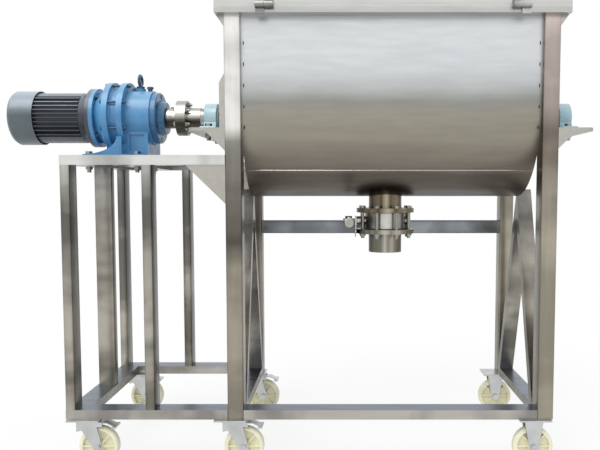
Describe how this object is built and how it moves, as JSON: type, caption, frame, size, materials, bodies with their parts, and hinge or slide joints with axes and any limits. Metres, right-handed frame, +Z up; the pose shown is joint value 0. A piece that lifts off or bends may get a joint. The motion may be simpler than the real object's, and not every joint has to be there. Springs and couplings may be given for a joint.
{
  "type": "ribbon blender",
  "caption": "Horizontal ribbon blender: U trough with hinged lid and double helical agitator, foot-mounted gearmotor, butterfly outlet valve, tube frame on casters.",
  "frame": {"origin": "on the floor, under the middle of the machine's overall footprint", "axes": "+X along the agitator shaft from the drive to the far bearing, -Y towards the side with the lid hinges, +Z up"},
  "size_m": [1.9195, 0.696, 1.464],
  "materials": {
    "frame_steel": "polished stainless tube",
    "trough_steel": "brushed stainless sheet",
    "agitator_steel": "ground stainless bar",
    "machined_steel": "turned steel",
    "fastener_steel": "plain stainless fasteners",
    "gearbox_blue": "gloss enamel over casting",
    "motor_grey": "dark enamel",
    "cover_grey": "smooth grey enamel on pressed sheet",
    "bearing_paint": "pale blue enamel over casting",
    "zinc_plate": "bright zinc plate",
    "nylon": "moulded cream nylon",
    "seal_rubber": "black seal rubber",
    "white_rubber": "food-grade white rubber",
    "brown_plastic": "moulded plug"
  },
  "bodies": {
    "frame": {"bearing_shelves": "frame_steel", "breather_plug": "brown_plastic", "caster_plates": "zinc_plate", "discharge_spout": "trough_steel", "eye_bolt": "gearbox_blue", "fan_cover": "cover_grey", "flange_gaskets": "seal_rubber", "gearbox_adapter": "gearbox_blue", "gearbox_bolts": "gearbox_blue", "gearbox_cap": "gearbox_blue", "gearbox_housing": "gearbox_blue", "gearbox_ring": "gearbox_blue", "gusset_plates": "frame_steel", "hinge_pins": "machined_steel", "lid_gasket": "white_rubber", "main_posts": "frame_steel", "main_rails": "frame_steel", "main_struts": "frame_steel", "motor_body": "motor_grey", "motor_end_bell": "motor_grey", "mounting_bolts": "fastener_steel", "outlet_neck": "trough_steel", "packing_glands": "machined_steel", "pillow_blocks": "bearing_paint", "rim_frame": "trough_steel", "rim_hinge_knuckles": "frame_steel", "stand_posts": "frame_steel", "stand_rails": "frame_steel", "terminal_box": "motor_grey", "trough_ends": "trough_steel", "trough_shell": "trough_steel", "valve_body": "machined_steel", "valve_bolts": "fastener_steel"},
    "agitator": {"agitator_shaft": "agitator_steel", "outer_ribbons": "agitator_steel", "inner_ribbons": "agitator_steel", "ribbon_spokes": "agitator_steel", "coupling_halves": "machined_steel", "coupling_fixings": "fastener_steel", "gearbox_output_shaft": "machined_steel"},
    "motor_rotor": {"motor_rotor": "machined_steel"},
    "lid": {"lid_panel": "trough_steel", "lid_hinge_knuckles": "frame_steel", "lid_handle": "frame_steel"},
    "valve": {"valve_disc": "machined_steel", "valve_lever": "machined_steel"},
    "swivel_stand_front": {"fork_stand_front": "zinc_plate"},
    "wheel_stand_front": {"wheel_stand_front": "nylon"},
    "brake_stand_front": {"brake_stand_front": "zinc_plate"},
    "swivel_stand_rear": {"fork_stand_rear": "zinc_plate"},
    "wheel_stand_rear": {"wheel_stand_rear": "nylon"},
    "brake_stand_rear": {"brake_stand_rear": "zinc_plate"},
    "swivel_main_front": {"fork_main_front": "zinc_plate"},
    "wheel_main_front": {"wheel_main_front": "nylon"},
    "brake_main_front": {"brake_main_front": "zinc_plate"},
    "swivel_main_rear": {"fork_main_rear": "zinc_plate"},
    "wheel_main_rear": {"wheel_main_rear": "nylon"},
    "brake_main_rear": {"brake_main_rear": "zinc_plate"},
    "wheel_rigid_front": {"wheel_rigid_front": "nylon"},
    "wheel_rigid_rear": {"wheel_rigid_rear": "nylon"}
  },
  "joints": [
    {"name": "agitator_spin", "type": "hinge", "parent": "frame", "child": "agitator", "pos_m": [0.3195, -0.016, 1.122], "axis": [1, 0, 0], "continuous": true},
    {"name": "motor_spin", "type": "hinge", "parent": "frame", "child": "motor_rotor", "pos_m": [-0.9595, -0.016, 1.122], "axis": [1, 0, 0], "continuous": true},
    {"name": "lid_open", "type": "hinge", "parent": "frame", "child": "lid", "pos_m": [0.3195, -0.338, 1.4215], "axis": [1, 0, 0], "range_deg": [0, 105]},
    {"name": "valve_turn", "type": "hinge", "parent": "frame", "child": "valve", "pos_m": [0.3195, -0.016, 0.767], "axis": [1, 0, 0], "range_deg": [0, 90]},
    {"name": "swivel_stand_front", "type": "hinge", "parent": "frame", "child": "swivel_stand_front", "pos_m": [-0.6435, -0.273, 0.155], "axis": [0, 0, 1], "continuous": true},
    {"name": "roll_stand_front", "type": "hinge", "parent": "swivel_stand_front", "child": "wheel_stand_front", "pos_m": [-0.6035, -0.273, 0.0625], "axis": [0, 1, 0], "continuous": true},
    {"name": "press_stand_front", "type": "hinge", "parent": "swivel_stand_front", "child": "brake_stand_front", "pos_m": [-0.5965, -0.273, 0.1345], "axis": [0, 1, 0], "range_deg": [0, 10]},
    {"name": "swivel_stand_rear", "type": "hinge", "parent": "frame", "child": "swivel_stand_rear", "pos_m": [-0.6435, 0.241, 0.155], "axis": [0, 0, 1], "continuous": true},
    {"name": "roll_stand_rear", "type": "hinge", "parent": "swivel_stand_rear", "child": "wheel_stand_rear", "pos_m": [-0.6035, 0.241, 0.0625], "axis": [0, 1, 0], "continuous": true},
    {"name": "press_stand_rear", "type": "hinge", "parent": "swivel_stand_rear", "child": "brake_stand_rear", "pos_m": [-0.5965, 0.241, 0.1345], "axis": [0, 1, 0], "range_deg": [0, 10]},
    {"name": "swivel_main_front", "type": "hinge", "parent": "frame", "child": "swivel_main_front", "pos_m": [-0.1825, -0.273, 0.155], "axis": [0, 0, 1], "continuous": true},
    {"name": "roll_main_front", "type": "hinge", "parent": "swivel_main_front", "child": "wheel_main_front", "pos_m": [-0.1425, -0.273, 0.0625], "axis": [0, 1, 0], "continuous": true},
    {"name": "press_main_front", "type": "hinge", "parent": "swivel_main_front", "child": "brake_main_front", "pos_m": [-0.1355, -0.273, 0.1345], "axis": [0, 1, 0], "range_deg": [0, 10]},
    {"name": "swivel_main_rear", "type": "hinge", "parent": "frame", "child": "swivel_main_rear", "pos_m": [-0.1825, 0.241, 0.155], "axis": [0, 0, 1], "continuous": true},
    {"name": "roll_main_rear", "type": "hinge", "parent": "swivel_main_rear", "child": "wheel_main_rear", "pos_m": [-0.1425, 0.241, 0.0625], "axis": [0, 1, 0], "continuous": true},
    {"name": "press_main_rear", "type": "hinge", "parent": "swivel_main_rear", "child": "brake_main_rear", "pos_m": [-0.1355, 0.241, 0.1345], "axis": [0, 1, 0], "range_deg": [0, 10]},
    {"name": "roll_rigid_front", "type": "hinge", "parent": "frame", "child": "wheel_rigid_front", "pos_m": [0.7735, -0.273, 0.0625], "axis": [0, 1, 0], "continuous": true},
    {"name": "roll_rigid_rear", "type": "hinge", "parent": "frame", "child": "wheel_rigid_rear", "pos_m": [0.7735, 0.241, 0.0625], "axis": [0, 1, 0], "continuous": true}
  ],
  "couplings": [
    {"joint": "motor_spin", "follows": "agitator_spin", "ratio": -35}
  ]
}
